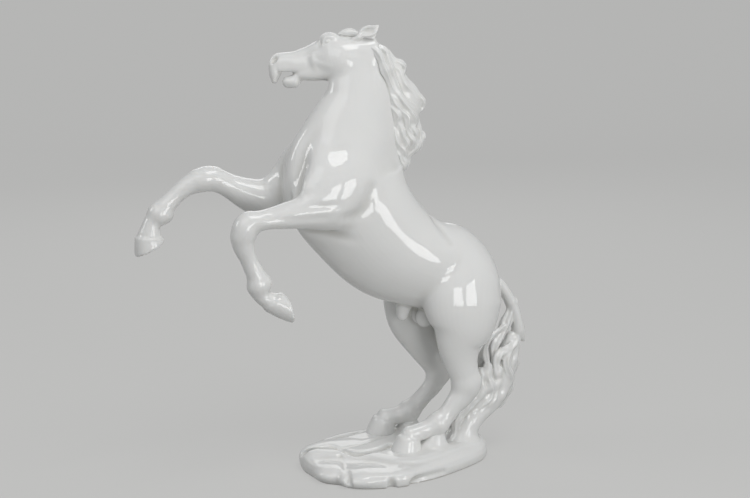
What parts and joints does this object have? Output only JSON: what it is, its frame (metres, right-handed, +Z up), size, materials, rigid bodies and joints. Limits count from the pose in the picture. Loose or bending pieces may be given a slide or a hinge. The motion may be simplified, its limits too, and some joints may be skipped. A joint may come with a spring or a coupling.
{
  "type": "horse figurine",
  "caption": "White glazed porcelain figurine of a stallion rearing over a low rock plinth, luted together from slip-cast sections; a free-standing ornament.",
  "frame": {"origin": "under the middle of the bounding box, on the table that the plinth stands on", "axes": "+Z up along the height, the horse faces -X, and its left side faces -Y"},
  "size_m": [0.3008, 0.1006, 0.3357],
  "materials": {
    "glaze": "glossy clear glaze over white porcelain"
  },
  "bodies": {
    "root": {"plinth": "glaze", "trunk": "glaze", "neck": "glaze", "head": "glaze", "lower_jaw": "glaze", "ear_left": "glaze", "ear_right": "glaze", "forelock": "glaze", "mane_crest": "glaze", "mane_middle": "glaze", "mane_lower": "glaze", "foreleg_left": "glaze", "foreleg_right": "glaze", "hind_leg_left": "glaze", "hind_leg_right": "glaze", "tail_dock": "glaze", "tail_switch": "glaze", "tail_lock": "glaze", "tail_strand": "glaze", "sheath": "glaze", "scrotum": "glaze"}
  },
  "joints": []
}
